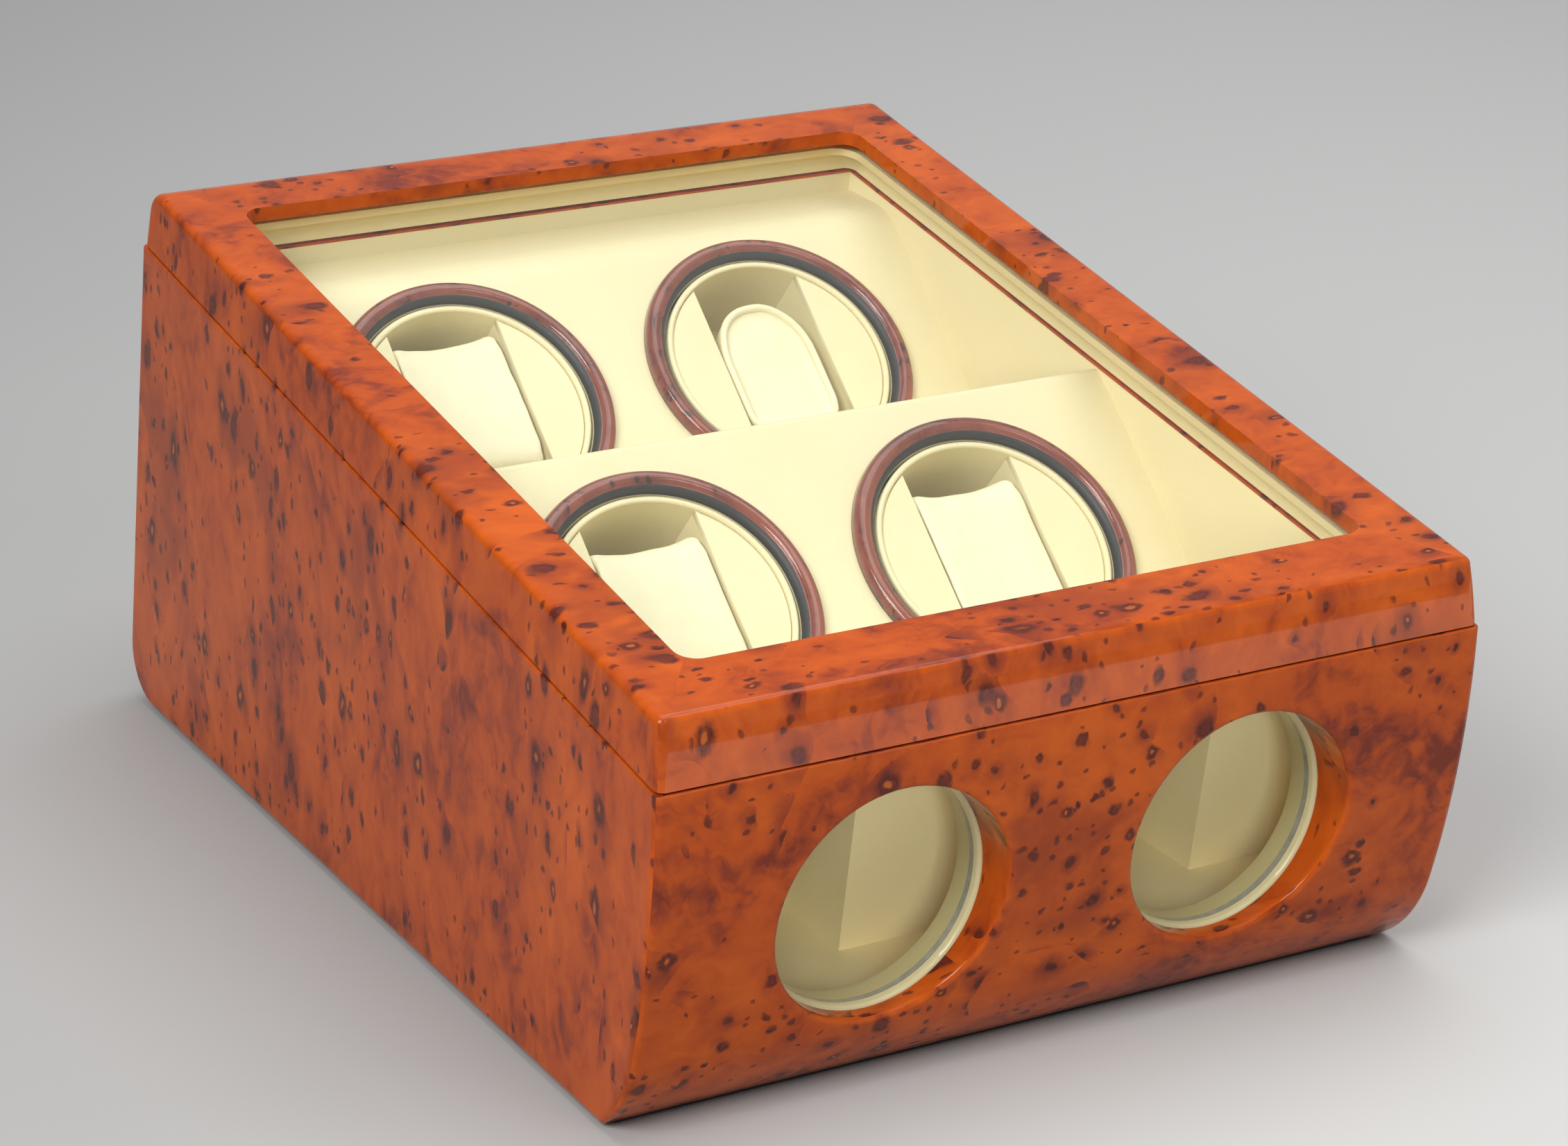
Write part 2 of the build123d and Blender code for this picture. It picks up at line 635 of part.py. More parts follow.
def cup_piece():
    hub_low = -cup_depth - hub_height
    bore_top = -cup_depth + cup_floor / 2
    cup = rod(cup_radius, -cup_depth, cup_rise)
    cup -= rod(cup_radius - cup_wall, cup_floor - cup_depth, cup_rise + 1)
    rim = cup.edges().filter_by(GeomType.CIRCLE).group_by(Axis.Z)[-1]
    cup = fillet(rim, radius=cup_wall / 2.5)
    cup += rod(hub_radius, hub_low, -cup_depth)
    return cup - rod(axle_radius + axle_clearance, hub_low - 1, bore_top)


def cup_blocks():
    radius = cup_radius - cup_wall - block_clearance
    solid = rod(radius, cup_floor - cup_depth, 0)
    pieces = []
    for side in (-1, 1):
        keep = block(radius, 2 * radius, -wide, wide, side * (channel_half_width + radius / 2))
        piece = solid & keep
        top = piece.faces().sort_by(Axis.Z)[-1]
        pieces.append(fillet(top.edges(), radius=block_edge_radius))
    return Compound([s for piece in pieces for s in piece.solids()])


def cushion_piece(turned):
    rounding = cushion_thick / 2 - 1
    outline = RectangleRounded(cushion_thick, cushion_long, rounding)
    roll = extrude(outline, amount=cushion_across / 2, both=True)
    ends = roll.faces().sort_by(Axis.Z)
    roll = fillet(ends[0].edges() + ends[-1].edges(), radius=cushion_edge_radius)
    if turned:
        return Pos(0, 0, -cushion_top - cushion_across / 2) * roll
    return Pos(0, 0, -cushion_top - cushion_thick / 2) * Rot(0, 90, 0) * roll


def roller_piece():
    shaft_low = plate_low - motor_boss_height / 2
    tyre = rod(roller_radius, -roller_top - roller_length, -roller_top)
    return tyre + rod(shaft_radius, shaft_low, -roller_top)


def motor_piece():
    can = rod(motor_radius, plate_low - motor_length, plate_low)
    socket = rod(shaft_radius + shaft_clearance, plate_low - 2 * motor_boss_height, plate_low + 1)
    rear_cap = rod(motor_boss_radius, plate_low - motor_length - motor_boss_height, plate_low - motor_length)
    return can + rear_cap - socket


def drive_plate(sides):
    plate = block(2 * plate_half_length, 2 * plate_half_width, plate_low, plate_top)
    plate = fillet(plate.edges().filter_by(Axis.Z), radius=2 * post_radius)
    post_x = plate_half_length - post_side_inset
    post_y = plate_half_width - post_inset
    for x in (-post_x, 0, post_x):
        for y in (-post_y, post_y):
            plate += rod(post_radius, plate_top, -board_thickness, x, y)
    for x in sides:
        plate -= rod(axle_radius, plate_low - 1, plate_top + 1, x)
    for x in roller_places():
        plate -= rod(shaft_radius + shaft_clearance, plate_low - 1, plate_top + 1, x)
    return plate


def roller_places():
    inner = station_half_pitch - roller_reach
    return (-inner, inner)


station_names = (
    ("rear_left", rear_station_u, -1, False),
    ("rear_right", rear_station_u, 1, True),
    ("front_left", front_station_u, -1, False),
    ("front_right", front_station_u, 1, False),
)


def station_parts():
    axles = []
    bezel, cup, blocks = bezel_piece(), cup_piece(), cup_blocks()
    roller, motor = roller_piece(), motor_piece()
    for name, station_u, side, turned in station_names:
        place = station_plane(station_u, side * station_half_pitch)
        drive = station_plane(station_u, side * (station_half_pitch - roller_reach))
        nodes[name + "_bezel"] = place * bezel
        nodes[name + "_cup"] = place * cup
        nodes[name + "_blocks"] = Compound([place * solid for solid in blocks.solids()])
        nodes[name + "_cushion"] = place * cushion_piece(turned)
        nodes[name + "_roller"] = drive * roller
        nodes[name + "_motor"] = drive * motor
        axles.append(place * rod(axle_radius, plate_low, -cup_depth + cup_floor / 2 - thrust_gap))
    nodes["stub_axles"] = Compound(axles)
    sides = (-station_half_pitch, station_half_pitch)
    for name, station_u in (("front", front_station_u), ("rear", rear_station_u)):
        nodes[name + "_drive_plate"] = station_plane(station_u) * drive_plate(sides)


# Controls on the rear wall; the panel frame's z points out of the wall
def panel_plane(x=0.0, out=0.0):
    y, z = seam_point(case_length + out, -panel_depth)
    return Plane(origin=(-x, y, z), x_dir=(-1, 0, 0), z_dir=(0, cos(slope), sin(slope)))


def panel_plate():
    outline = RectangleRounded(panel_width, panel_height, panel_corner_radius)
    return extrude(outline, amount=-panel_thickness)


def control_pocket():
    pass_width = panel_width - 4 * panel_corner_radius
    pass_height = panel_height - 2 * panel_corner_radius
    way = extrude(Rectangle(pass_width, pass_height), amount=-2 * wall)
    return panel_plane() * (panel_plate() + way)


def control_parts():
    opening_width = rocker_width + 2 * rocker_gap
    opening_height = rocker_height + 2 * rocker_gap
    panel = panel_plate() - block(opening_width, opening_height, -wall, wall, rocker_x)
    for x in (-knob_x, knob_x):
        panel -= rod(knob_shaft_radius + knob_shaft_clearance, -wall, wall, x)
    panel -= rod(inlet_radius - inlet_flange, -wall, wall, -inlet_x)
    well_low = -panel_thickness - rocker_height / 2
    well = block(opening_width + panel_thickness, opening_height + panel_thickness,
                 well_low, -panel_thickness, rocker_x)
    well -= block(opening_width, opening_height, well_low + panel_thickness / 2, wall, rocker_x)
    nodes["control_panel"] = panel_plane() * (panel + well)
    rocker = Pos(rocker_x, 0, -rocker_pivot_depth) * Rot(rocker_swing, 0, 0) * Rot(0, 90, 0) * rocker_piece()
    nodes["power_rocker"] = panel_plane() * rocker
    knob = rod(knob_radius, knob_gap, knob_height) + rod(knob_shaft_radius, -wall / 2, knob_gap)
    knob = fillet(knob.edges().filter_by(GeomType.CIRCLE).sort_by(Axis.Z)[-1], radius=knob_edge_radius)
    knob -= block(pointer_width, knob_radius, knob_height - pointer_depth, knob_height + 1,
                  0, knob_radius / 2)
    for name, x in (("left", -knob_x), ("right", knob_x)):
        nodes["mode_knob_" + name] = panel_plane() * Pos(x, 0, 0) * knob
    inlet = rod(inlet_radius, 0, inlet_flange, -inlet_x)
    inlet += rod(inlet_radius - inlet_flange, -inlet_depth, 0, -inlet_x)
    inlet -= rod(inlet_bore, -inlet_depth + inlet_flange, inlet_flange + 1, -inlet_x)
    nodes["inlet_socket"] = panel_plane() * inlet
    low = base_high + circuit_rise
    high = low + circuit_thickness
    board = block(circuit_length, circuit_width, low, high, 0, circuit_y)
    for x in (circuit_post_inset - circuit_length / 2, circuit_length / 2 - circuit_post_inset):
        for y in (circuit_post_inset - circuit_width / 2, circuit_width / 2 - circuit_post_inset):
            board += rod(circuit_post_radius, base_high, low, x, circuit_y + y)
    board += block(chip_width, chip_width, high, high + chip_height, 0, circuit_y)
    nodes["circuit_board"] = board


# Rocker about its own pivot, which runs along local z before it is turned into place
def rocker_piece():
    half = rocker_height / 2
    swing = radians(rocker_swing)
    end_z = half * sin(swing) + rocker_crown
    outline = [(-half, 0), (-half * cos(swing), end_z), (0, rocker_dip), (half * cos(swing), end_z),
               (half, 0), (0, -rocker_keel)]
    face = make_face(Polyline(*outline, close=True))
    return Rot(0, 0, 90) * extrude(face, amount=rocker_width / 2, both=True)


body_parts()
lining_parts()
chamber_parts()
porthole_parts()
lid_parts()
hinge_parts()
station_parts()
control_parts()

os.makedirs("parts", exist_ok=True)
for name, shape in nodes.items():
    export_step(shape, "parts/" + name + ".step")
print(len(nodes), "nodes written, case depth", round(case_depth, 1))
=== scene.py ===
# %% [markdown]
# A case that keeps four wrist watches on show and turns them slowly. The outside is burl veneer under a
# thick clear lacquer, the inside is cream leatherette, and the lid is a sloping frame round a pane of glass.
# The shapes that are hard and exact come from the CAD model. Blender adds the soft cushions, the rounded
# trim, and all of the finishes.

# %% Load the frame
import bpy
import bmesh
import json
import math
from mathutils import Matrix, Vector, noise


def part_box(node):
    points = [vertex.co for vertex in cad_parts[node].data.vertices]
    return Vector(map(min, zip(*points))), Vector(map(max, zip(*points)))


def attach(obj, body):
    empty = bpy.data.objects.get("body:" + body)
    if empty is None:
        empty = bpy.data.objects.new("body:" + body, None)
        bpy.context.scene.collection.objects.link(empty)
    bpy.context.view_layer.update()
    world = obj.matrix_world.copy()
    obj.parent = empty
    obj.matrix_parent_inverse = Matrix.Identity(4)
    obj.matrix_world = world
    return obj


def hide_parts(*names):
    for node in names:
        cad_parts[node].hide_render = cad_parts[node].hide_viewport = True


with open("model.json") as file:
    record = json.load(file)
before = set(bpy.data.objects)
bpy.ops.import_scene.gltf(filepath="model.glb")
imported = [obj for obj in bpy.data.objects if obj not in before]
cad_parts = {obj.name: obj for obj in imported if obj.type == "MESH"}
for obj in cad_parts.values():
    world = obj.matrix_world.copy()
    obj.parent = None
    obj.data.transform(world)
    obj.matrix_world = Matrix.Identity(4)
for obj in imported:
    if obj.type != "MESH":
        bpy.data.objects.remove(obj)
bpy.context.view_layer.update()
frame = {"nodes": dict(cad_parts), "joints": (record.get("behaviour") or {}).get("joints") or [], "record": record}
scene = bpy.context.scene
nodes = frame["nodes"]

# %% [markdown]
# The camera is the one that took the photograph, worked out from the straight edges and round rings of the
# case. It is a long lens, about 100 mm on a 36 mm sensor, which looks down at the front left corner.
# A real lens shift isn't needed.

# %% Camera
MM = 0.001
photo_width = 2260
focal_pixels = 6324.09
camera_place = Vector((-0.76991, -1.35017, 0.71199))
camera_right = Vector((0.869598, -0.493193, 0.023662))
camera_ahead = Vector((0.467062, 0.806089, -0.363418))

camera_data = bpy.data.cameras.new("camera")
camera_data.sensor_width = 36.0
camera_data.lens = focal_pixels * camera_data.sensor_width / photo_width
camera_data.clip_end = 50.0
camera = bpy.data.objects.new("camera", camera_data)
camera_up = camera_right.cross(camera_ahead)
camera.matrix_world = Matrix.Translation(camera_place) @ Matrix(
    (camera_right, camera_up, -camera_ahead)).transposed().to_4x4()
scene.collection.objects.link(camera)
scene.camera = camera
print("lens", round(camera_data.lens, 1), "mm")

# %% [markdown]
# A studio sweep is a pale sheet that fills the view. The camera looks down, so one large floor is enough.
# The light is soft and comes from above and from the front left, as the highlights on the rings show. Two
# cards do no more than show in the lacquer, and one of them, on the floor in front, gives the pale band
# under the seam. A lamp near the camera reaches through the portholes and lights only the chamber.

# %% Floor and lights
def place_mesh(name, mesh_maker):
    mesh = bpy.data.meshes.new(name)
    shape = bmesh.new()
    mesh_maker(shape)
    shape.to_mesh(mesh)
    shape.free()
    piece = bpy.data.objects.new(name, mesh)
    scene.collection.objects.link(piece)
    return piece


def soft_light(name, place, aim, width, height, power, tint=(1.0, 1.0, 1.0)):
    data = bpy.data.lights.new(name, "AREA")
    data.shape = "RECTANGLE"
    data.size = width
    data.size_y = height
    data.energy = power
    data.color = tint
    light = bpy.data.objects.new(name, data)
    light.location = place
    light.rotation_euler = (Vector(aim) - Vector(place)).to_track_quat("-Z", "Y").to_euler()
    scene.collection.objects.link(light)
    return light


floor = place_mesh("floor", lambda shape: bmesh.ops.create_grid(shape, x_segments=1, y_segments=1, size=14.0))
case_middle = (0.0, 0.0, 0.1)
soft_light("light_top", (0.35, 0.0, 2.3), case_middle, 2.2, 1.8, 34.5)
soft_light("light_left", (-1.75, -1.15, 1.75), case_middle, 1.3, 1.1, 54.0)
soft_light("light_front", (0.3, -2.0, 1.8), (0.0, 0.0, 0.08), 0.8, 0.6, 6.0)
for card in (soft_light("card_far", (1.17, -2.4, 0.53), (0.05, -0.2, 0.16), 1.5, 1.2, 3.5),
             soft_light("card_floor", (0.55, -0.835, 0.012), (0.55, -0.835, 1.0), 1.3, 0.73, 5.5)):
    card.visible_camera = False
    card.visible_diffuse = False

warm = (1.0, 0.92, 0.75)
chamber_lamp = soft_light("lamp_chamber", (-0.95, -1.8, 0.75), (0.0, -0.2, 0.07), 0.5, 0.4, 21.4, warm)
chamber = bpy.data.collections.new("chamber")
for name in ("chamber_blocks", "chamber_back", "chamber_floor", "side_linings"):
    chamber.objects.link(nodes[name])
chamber_lamp.light_linking.receiver_collection = chamber

world = bpy.data.worlds.new("studio")
world.use_nodes = True
scene.world = world
scene.view_settings.view_transform = "Standard"
print("studio ready")

# %% [markdown]
# Shader maths reads best as arithmetic. One small class wraps a socket, so that plus, minus, times and
# divide each add a Math node, and one method makes any other node from its settings and inputs.

# %% Node helpers
class Value:
    def __init__(self, graph, socket):
        self.graph = graph
        self.socket = socket

    def maths(self, operation, *others, swapped=False):
        values = list(others) + [self] if swapped else [self] + list(others)
        return self.graph.make("Math", {"operation": operation}, dict(enumerate(values)))

    def __add__(self, other):
        return self.maths("ADD", other)

    def __radd__(self, other):
        return self.maths("ADD", other)

    def __sub__(self, other):
        return self.maths("SUBTRACT", other)

    def __rsub__(self, other):
        return self.maths("SUBTRACT", other, swapped=True)

    def __mul__(self, other):
        return self.maths("MULTIPLY", other)

    def __rmul__(self, other):
        return self.maths("MULTIPLY", other)

    def __truediv__(self, other):
        return self.maths("DIVIDE", other)

    def size(self):
        return self.maths("ABSOLUTE")

    def greater(self, other):
        return self.maths("GREATER_THAN", other)

    def most(self, other):
        return self.maths("MAXIMUM", other)

    def step(self, low, high):
        """0 below low, 1 above high, smooth between; low may be the larger of the two."""
        return self.graph.make("MapRange", {"interpolation_type": "SMOOTHSTEP"},
                               {"Value": self, "From Min": low, "From Max": high})


class Graph:
    def __init__(self, name, owner=None):
        self.material = owner or bpy.data.materials.new(name)
        self.material.use_nodes = True
        self.tree = self.material.node_tree
        self.tree.nodes.clear()
        self.output = self.tree.nodes.new("ShaderNodeOutputWorld" if owner else "ShaderNodeOutputMaterial")

    def make(self, kind, settings=None, inputs=None, output=0):
        node = self.tree.nodes.new("ShaderNode" + kind)
        for key, setting in (settings or {}).items():
            if key == "stops":
                self.set_stops(node, setting)
            else:
                setattr(node, key, setting)
        for key, entry in (inputs or {}).items():
            self.join(node.inputs[key], entry)
        return Value(self, node.outputs[output])

    def join(self, socket, entry):
        if isinstance(entry, Value):
            self.tree.links.new(entry.socket, socket)
        elif socket.type == "RGBA" and len(entry) == 3:
            socket.default_value = (*entry, 1.0)
        else:
            socket.default_value = entry

    def set_stops(self, node, stops):
        ramp = node.color_ramp
        while len(ramp.elements) < len(stops):
            ramp.elements.new(0.5)
        for element, (place, colour) in zip(ramp.elements, stops):
            element.position = place
            element.color = (*colour, 1.0)

    def place(self, scale=(1.0, 1.0, 1.0)):
        return self.make("Mapping", None, {"Vector": self.make("TexCoord", output=3), "Scale": scale})

    def parts(self, vector):
        return [self.make("SeparateXYZ", None, {"Vector": vector}, k) for k in range(3)]

    def choose(self, factor, first, second):
        return first * (1.0 - factor) + second * factor

    def noise(self, spot, scale, detail=4.0, roughness=0.5, distortion=0.0, output=0):
        return self.make("TexNoise", None, {"Vector": spot, "Scale": scale, "Detail": detail,
                                            "Roughness": roughness, "Distortion": distortion}, output)

    def cells(self, spot, scale, output=0, flat=False):
        return self.make("TexVoronoi", {"voronoi_dimensions": "2D" if flat else "3D"},
                         {"Vector": spot, "Scale": scale}, output)

    def mix(self, factor, first, second):
        return self.make("Mix", {"data_type": "RGBA"}, {0: factor, 6: first, 7: second}, 2)

    def stir(self, spot, amount, scale, detail=2.0):
        swirl = self.noise(spot, scale, detail, output=1)
        centred = self.make("VectorMath", {"operation": "SUBTRACT"}, {0: swirl, 1: (0.5, 0.5, 0.5)})
        scaled = self.make("VectorMath", {"operation": "SCALE"}, {0: centred, "Scale": amount})
        return self.make("VectorMath", {"operation": "ADD"}, {0: spot, 1: scaled})

    def bump(self, height, distance, strength=1.0):
        return self.make("Bump", None, {"Height": height, "Distance": distance, "Strength": strength})

    def finish(self, **inputs):
        sockets = {key.replace("_", " "): entry for key, entry in inputs.items()}
        shader = self.make("BsdfPrincipled", None, sockets)
        self.tree.links.new(shader.socket, self.output.inputs["Surface"])
        return self.material


def make_studio_walls():
    g = Graph("studio", world)
    ahead = g.make("VectorMath", {"operation": "DOT_PRODUCT"},
                   {0: g.make("TexCoord", output=0), 1: (0.62, 0.3, 0.72)}, 1)
    strength = 0.1 + 0.52 * ahead.step(-0.15, 0.75)
    shine = g.make("Background", None, {"Color": (0.82, 0.83, 0.85), "Strength": strength})
    g.tree.links.new(shine.socket, g.output.inputs["Surface"])


make_studio_walls()
print("node helpers ready")

# %% [markdown]
# Burl is wood cut from a growth full of buds. Each bud shows as a small dark eye, often ringed, some with
# an orange heart. The eyes stand in flocks, in a purple shade, with clear, cloudy figure between them. A
# veneered face is a flat sheet, so the pattern is worked out on flat sheets: one wraps over the sides and
# the long rails of the lid, one covers the front and rear, and one the short rails. Flat Voronoi cells make
# the eyes, because each cell has one centre. The lacquer is one smooth gloss over it all, with the faint
# waves that a sprayed coat keeps.

# %% Burl lacquer
lid_middle_y = -13.4 * MM
mitre_slope = 1.32


def veneer_sheet(g):
    x, y, z = g.parts(g.place())
    nx, ny, nz = g.parts(g.make("TexCoord", output=1))
    face = ny.size().greater(0.6).most((0.0 - nz).greater(0.3))
    rail = ((y - lid_middle_y).size() - x.size() * mitre_slope).greater(0.0) * (1.0 - face)
    rail = rail * (1.0 - nx.size().greater(0.7))
    across = g.choose(face.most(rail), y + nx.greater(0.7) * 0.53 + x.greater(0.0) * 0.31, x)
    along = g.choose(face, z - g.choose(rail, x.size(), y.size()), z + y.size() * 0.9 + ny.greater(0.0) * 0.7)
    across = across * g.choose(rail, 1.0 - face * 0.12, 0.66)
    along = along * g.choose(rail, 0.56 + face * 0.26, 1.0)
    return g.make("CombineXYZ", None, {"X": across, "Y": along, "Z": face * 0.37 + rail * 0.81})


def scatter_eyes(g, spot, scale, radius, share, density):
    """Nearness to an eye (0 at its heart, 1 at its rim) and a random number for each eye."""
    distance = g.cells(spot, scale, flat=True)
    chance, size, _ = g.parts(g.cells(spot, scale, output=1, flat=True))
    lucky = chance.greater(1.0 - density * share)
    return distance / (radius * (0.5 + 0.7 * size)) + (1.0 - lucky) * 9.0, size


def make_burl(name, pale, middle, deep, eye, heart, fineness=1.0, gloss=0.035, ior=1.27):
    g = Graph(name)
    sheet = veneer_sheet(g)
    loose = g.stir(sheet, 0.03, 16.0, 2.0)
    cloud = g.noise(loose, 15.0 * fineness, 3.0, 0.5, 0.6)
    curl = g.noise(loose, 44.0 * fineness, 4.0, 0.55, 1.6)
    flame = g.noise(g.stir(sheet, 0.012, 70.0, 2.0), 130.0 * fineness, 3.0, 0.55, 0.8)
    figure = cloud * 0.5 + curl * 0.3 + flame * 0.2
    ground = g.make("ValToRGB", {"stops": [(0.37, deep), (0.46, middle), (0.6, pale)]}, {"Fac": figure})

    flock = g.noise(g.stir(sheet, 0.03, 9.0), 15.0, 2.0, 0.5)
    crowd = 0.06 + 0.94 * flock.step(0.41, 0.55)
    ragged = g.stir(g.stir(sheet, 0.0055, 110.0, 2.0), 0.0018, 520.0 * fineness, 2.0)
    halo, dark, inner, spark = [], [], [], []
    for scale, radius, share in ((44.0, 0.14, 0.82), (80.0, 0.155, 0.78), (150.0, 0.16, 0.5)):
        near, lot = scatter_eyes(g, ragged, scale * fineness, radius, share, crowd)
        halo.append(near.step(4.0, 0.9))
        dark.append(near.step(1.35, 0.6))
        inner.append(near.step(0.66, 0.4) * lot.step(0.35, 0.5))
        spark.append(near.step(0.4, 0.2) * lot.step(0.78, 0.84))
    mist = g.noise(loose, 34.0, 3.0, 0.6)
    shade = halo[0].most(halo[1] * 0.8).most(flock.step(0.5, 0.66) * 0.75) * mist.step(0.36, 0.6)
    colour = g.mix(shade * 0.75, ground, deep)
    mottle = g.noise(ragged, 420.0 * fineness, 3.0, 0.6)
    eyes = dark[0].most(dark[1]).most(dark[2] * 0.8)
    colour = g.mix(eyes * (0.72 + 0.28 * mottle.step(0.35, 0.6)), colour, eye)
    colour = g.mix(inner[0].most(inner[1]) * mottle.step(0.42, 0.6) * 0.75, colour, deep)
    colour = g.mix(spark[0].most(spark[1]), colour, heart)
    waves = g.bump(g.noise(g.place(), 26.0, 2.0), 0.0012, 0.05)
    return g.finish(Base_Color=colour, Roughness=gloss + mottle * 0.01, IOR=ior, Normal=waves)


burl = make_burl("burl_lacquer", (0.56, 0.098, 0.008), (0.42, 0.064, 0.007), (0.18, 0.026, 0.012),
                 (0.075, 0.015, 0.011), (0.42, 0.1, 0.02))
burl_trim = make_burl("ring_lacquer", (0.3, 0.08, 0.05), (0.22, 0.052, 0.035), (0.12, 0.026, 0.02),
                      (0.045, 0.016, 0.016), (0.3, 0.09, 0.05), fineness=1.6, gloss=0.03, ior=1.5)
print("burl finishes made")

# %% [markdown]
# The leatherette is cream vinyl with a grain so fine that it shows only as a soft sheen. A little warm
# staining in patches keeps it from looking like paint. The cushion cover is the same cloth, slightly paler
# and more creased. The pad under the base is black felt.

# %% Leatherette and felt
def make_leatherette(name, colour, stain, creases=0.0):
    g = Graph(name)
    spot = g.place()
    patch = g.noise(spot, 22.0, 4.0, 0.55).step(0.35, 0.75)
    base = g.mix(patch * 0.5, colour, stain)
    grain = g.cells(g.stir(spot, 0.0006, 700.0), 1300.0)
    folds = g.noise(g.stir(spot, 0.01, 40.0), 90.0, 3.0, 0.5)
    height = grain * 0.35 + folds * creases
    return g.finish(Base_Color=base, Roughness=0.44 + patch * 0.1, IOR=1.45,
                    Normal=g.bump(height, 0.0004, 0.35))


def make_felt():
    g = Graph("black_felt")
    fluff = g.noise(g.place(), 1800.0, 5.0, 0.7)
    colour = g.mix(fluff, (0.012, 0.012, 0.013), (0.05, 0.05, 0.052))
    return g.finish(Base_Color=colour, Roughness=0.95, Sheen_Weight=0.3, Normal=g.bump(fluff, 0.0008, 0.8))


cream = (0.87, 0.775, 0.5)
leatherette = make_leatherette("cream_leatherette", cream, (0.85, 0.75, 0.455))
cushion_cloth = make_leatherette("cushion_leatherette", (0.9, 0.84, 0.6), (0.88, 0.8, 0.53), creases=1.2)
felt = make_felt()
print("cloth finishes made")

# %% [markdown]
# Clear glass lets nearly all light through, and shows itself by what it reflects. A full glass shader
# would darken the inside with caustic noise, so the pane mixes a clear shader with a mirror, by the
# Fresnel law that real glass follows. The hidden machine parts get plain moulded and machined finishes.

# %% Glass and hardware
def make_glass(name, tint, share=1.0):
    g = Graph(name)
    clear = g.make("BsdfTransparent", None, {"Color": tint})
    mirror = g.make("BsdfGlossy", None, {"Color": (1.0, 1.0, 1.0), "Roughness": 0.01})
    facing = g.make("LayerWeight", None, {"Blend": 0.5}, 1)
    glance = (0.04 + 0.96 * facing.maths("POWER", 5.0)) * share
    both = g.make("MixShader", None, {0: glance, 1: clear, 2: mirror})
    g.tree.links.new(both.socket, g.output.inputs["Surface"])
    return g.material


def make_moulded(name, first, second, roughness, metal=0.0, scale=220.0, stretch=(1.0, 1.0, 1.0),
                 depth=0.0002):
    g = Graph(name)
    grain = g.noise(g.place(scale=stretch), scale, 4.0, 0.6)
    colour = g.mix(grain, first, second)
    return g.finish(Base_Color=colour, Roughness=roughness + grain * 0.12, Metallic=metal,
                    Normal=g.bump(grain, depth, 0.4))


lid_clear = make_glass("lid_glass_clear", (0.98, 0.99, 0.975), 0.7)
window_clear = make_glass("porthole_glass_clear", (0.985, 0.99, 0.96), 0.6)
brass = make_moulded("hinge_brass", (0.72, 0.5, 0.2), (0.62, 0.42, 0.16), 0.18, metal=1.0, scale=900.0,
                     stretch=(0.1, 1.0, 1.0))
steel = make_moulded("turned_steel", (0.58, 0.58, 0.6), (0.48, 0.48, 0.5), 0.25, metal=1.0, scale=700.0)
plastic = make_moulded("black_plastic", (0.012, 0.012, 0.014), (0.024, 0.024, 0.026), 0.42, scale=1500.0)
rubber = make_moulded("black_rubber", (0.015, 0.015, 0.015), (0.03, 0.03, 0.03), 0.7, scale=800.0)
fibreboard = make_moulded("fibreboard", (0.42, 0.3, 0.18), (0.3, 0.2, 0.11), 0.8, scale=600.0)
circuit = make_moulded("circuit_laminate", (0.01, 0.12, 0.04), (0.02, 0.17, 0.06), 0.3, scale=120.0)
print("glass and hardware made")

# %% [markdown]
# Each CAD node takes the finish of its material slot. The floor gets a matt, pale grey of its own, with painted
# light: darker towards the left and rear, lighter towards the right and in front of the case.

# %% Dress the CAD nodes
finish_of_slot = {"burl": burl, "burl_trim": burl_trim, "leatherette": leatherette, "cushion": cushion_cloth,
                  "felt": felt, "glass": lid_clear, "hinge": brass, "steel": steel, "plastic": plastic,
                  "rubber": rubber, "circuit": circuit, "board": fibreboard}


def dress(piece, *finishes):
    piece.data.materials.clear()
    for finish in finishes:
        piece.data.materials.append(finish)


for entry in frame["record"]["subparts"]:
    dress(nodes[entry["node"]], finish_of_slot[entry["material_slot"]])
dress(nodes["porthole_glass"], window_clear)


def make_floor_with_painted_light():
    g = Graph("studio_sheet_painted_light")
    x, y, _ = g.parts(g.place())
    # Painted light: the grey runs from darker at the left and rear to lighter at the right and front.
    across = x - y * 0.3 + g.noise(g.place(), 3.0, 3.0) * 0.1 - 0.05
    colour = g.mix(across.step(-0.75, 0.75), (0.335, 0.335, 0.33), (0.51, 0.51, 0.5))
    # Painted light: a brighter stretch of floor in front of the case.
    colour = g.mix((0.0 - y).step(0.1, 0.32) * 0.4, colour, (0.68, 0.68, 0.66))
    return g.finish(Base_Color=colour, Roughness=0.75, Specular_IOR_Level=0.25)


dress(floor, make_floor_with_painted_light())
print("dressed", len(nodes), "nodes")

# %% [markdown]
# Each station has its own frame: the ring's centre, the sideways direction, the way up the sloping board,
# and the way out of the board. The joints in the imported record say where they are.

# %% Station frames
station_names = ("rear_left", "rear_right", "front_left", "front_right")
joints = {joint["name"]: joint for joint in frame["joints"]}


def station_frame(name):
    joint = joints[name + "_spin"]
    outward = Vector(joint["axis"]).normalized()
    sideways = Vector((1.0, 0.0, 0.0))
    upward = outward.cross(sideways)
    turn = Matrix((sideways, upward, outward)).transposed().to_4x4()
    return Matrix.Translation(Vector(joint["pos_m"])) @ turn


stations = {name: station_frame(name) for name in station_names}
for name, place in stations.items():
    print(name, [round(v, 4) for v in place.translation])
